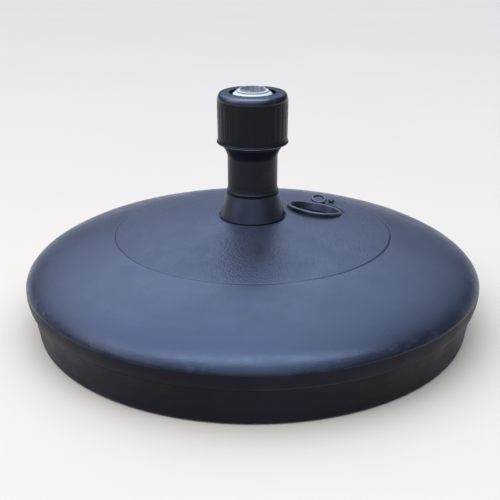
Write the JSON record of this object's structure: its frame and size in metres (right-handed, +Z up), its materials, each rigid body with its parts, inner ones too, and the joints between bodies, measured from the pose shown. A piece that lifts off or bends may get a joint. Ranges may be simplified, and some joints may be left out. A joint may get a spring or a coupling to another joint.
{
  "type": "parasol base",
  "caption": "Round water-filled plastic parasol base with a low domed tank, filler plug, stand tube on a conical foot, hand clamp nut and reducing sleeves for the pole.",
  "frame": {"origin": "on the stand tube's axis, at the floor", "axes": "+Z up along the pole, +X towards the filler plug's side; the filler plug lies between +X and +Y"},
  "size_m": [0.5, 0.5, 0.2598],
  "materials": {
    "tank_plastic": "satin blow-moulded polyethylene with a fine leather grain",
    "stand_plastic": "satin moulded plastic",
    "nut_plastic": "semi-gloss moulded plastic",
    "plug_plastic": "soft satin plastic",
    "reducer_plastic": "light grey moulded plastic",
    "seal_rubber": "matt black rubber"
  },
  "bodies": {
    "root": {"tank_top_shell": "tank_plastic", "tank_bottom_shell": "tank_plastic", "foot_gasket": "seal_rubber", "foot_collar": "stand_plastic", "stand_tube": "stand_plastic", "retaining_washer": "seal_rubber", "retaining_nut": "stand_plastic", "tube_end_cap": "stand_plastic"},
    "plug": {"filler_plug": "plug_plastic", "filler_seal": "seal_rubber"},
    "collet": {"clamp_collet": "stand_plastic"},
    "nut": {"clamp_nut": "nut_plastic"},
    "outer_sleeve": {"reducer_outer": "reducer_plastic"},
    "inner_sleeve": {"reducer_inner": "reducer_plastic"}
  },
  "joints": [
    {"name": "plug_pull", "type": "slide", "parent": "root", "child": "plug", "axis": [0.1549, 0.1255, 0.9799], "range_m": [0, 0.05]},
    {"name": "collet_rise", "type": "slide", "parent": "root", "child": "collet", "axis": [0, 0, 1], "range_m": [0, 0.01005]},
    {"name": "nut_turn", "type": "hinge", "parent": "collet", "child": "nut", "pos_m": [0, 0, 0.23], "axis": [0, 0, 1], "range_deg": [0, 720]},
    {"name": "outer_sleeve_lift", "type": "slide", "parent": "collet", "child": "outer_sleeve", "axis": [0, 0, 1], "range_m": [0, 0.1]},
    {"name": "inner_sleeve_lift", "type": "slide", "parent": "outer_sleeve", "child": "inner_sleeve", "axis": [0, 0, 1], "range_m": [0, 0.09]}
  ],
  "couplings": [
    {"joint": "collet_rise", "follows": "nut_turn", "m_per_rad": 0.00079577}
  ]
}
